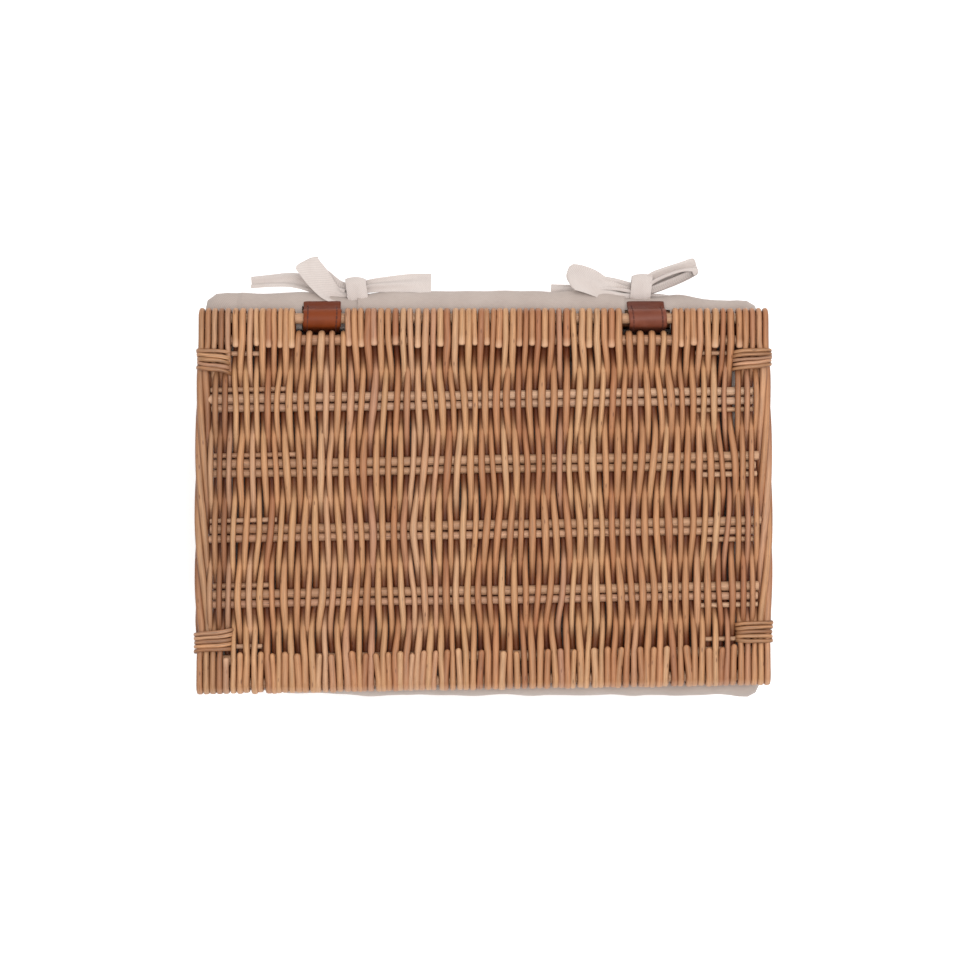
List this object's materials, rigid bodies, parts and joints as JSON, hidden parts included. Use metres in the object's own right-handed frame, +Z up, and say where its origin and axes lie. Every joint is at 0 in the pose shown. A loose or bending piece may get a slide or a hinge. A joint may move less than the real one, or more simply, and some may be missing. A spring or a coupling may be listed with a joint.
{
  "type": "lidded wicker basket",
  "caption": "Low rectangular willow hamper with a woven lid on leather hinge loops and a cotton lining folded over the rim and tied with bows at the back.",
  "frame": {"origin": "centre of the base's underside, on the surface that the basket stands on", "axes": "+X to the right along the long side, seen from the front; +Y to the back, where the hinge is; +Z up"},
  "size_m": [0.45, 0.3418, 0.22],
  "materials": {
    "willow_weave": "dry peeled and buffed willow, satin",
    "willow_stick": "thicker willow, satin",
    "willow_tie": "thin split willow, satin",
    "leather": "brown strap leather, semi-gloss",
    "thread": "waxed dark brown thread",
    "cotton": "off-white twill, matt",
    "cotton_tape": "off-white tape, matt"
  },
  "bodies": {
    "basket": {"rim_border_front": "willow_weave", "rim_border_back": "willow_weave", "rim_border_left": "willow_weave", "rim_border_right": "willow_weave", "wall_weave_front": "willow_weave", "wall_weave_back": "willow_weave", "wall_weave_left": "willow_weave", "wall_weave_right": "willow_weave", "stakes_front": "willow_stick", "stakes_back": "willow_stick", "stakes_left": "willow_stick", "stakes_right": "willow_stick", "corner_post_front_left": "willow_stick", "corner_post_front_right": "willow_stick", "corner_post_back_left": "willow_stick", "corner_post_back_right": "willow_stick", "foot_wale_front": "willow_weave", "foot_wale_back": "willow_weave", "foot_wale_left": "willow_weave", "foot_wale_right": "willow_weave", "base_weave": "willow_weave", "base_sticks": "willow_stick", "base_edge_sticks": "willow_stick", "hinge_strap_left": "leather", "hinge_strap_right": "leather", "hinge_stitching_left": "thread", "hinge_stitching_right": "thread", "lining_bag": "cotton", "lining_skirt": "cotton", "tie_left_knot": "cotton_tape", "tie_left_loop": "cotton_tape", "tie_left_tails": "cotton_tape", "tie_right_knot": "cotton_tape", "tie_right_loops": "cotton_tape", "tie_right_tails": "cotton_tape"},
    "lid": {"lid_weave": "willow_weave", "lid_border_front": "willow_weave", "lid_border_back_left": "willow_weave", "lid_border_back_middle": "willow_weave", "lid_border_back_right": "willow_weave", "lid_gap_turns_left": "willow_weave", "lid_gap_turns_right": "willow_weave", "lid_hinge_stick": "willow_stick", "lid_back_inner_stick": "willow_stick", "lid_front_inner_stick": "willow_stick", "lid_front_outer_stick": "willow_stick", "lid_stick_pair_1": "willow_stick", "lid_stick_pair_2": "willow_stick", "lid_stick_pair_3": "willow_stick", "lid_stick_pair_4": "willow_stick", "lid_packing_sticks": "willow_stick", "lid_end_bundle_left": "willow_weave", "lid_end_bundle_right": "willow_weave", "lid_tie_front_left": "willow_tie", "lid_tie_front_right": "willow_tie", "lid_tie_back_left": "willow_tie", "lid_tie_back_right": "willow_tie"}
  },
  "joints": [
    {"name": "lid_hinge", "type": "hinge", "parent": "basket", "child": "lid", "pos_m": [0, 0.1416, 0.2116], "axis": [-1, 0, 0], "range_deg": [0, 180]}
  ]
}
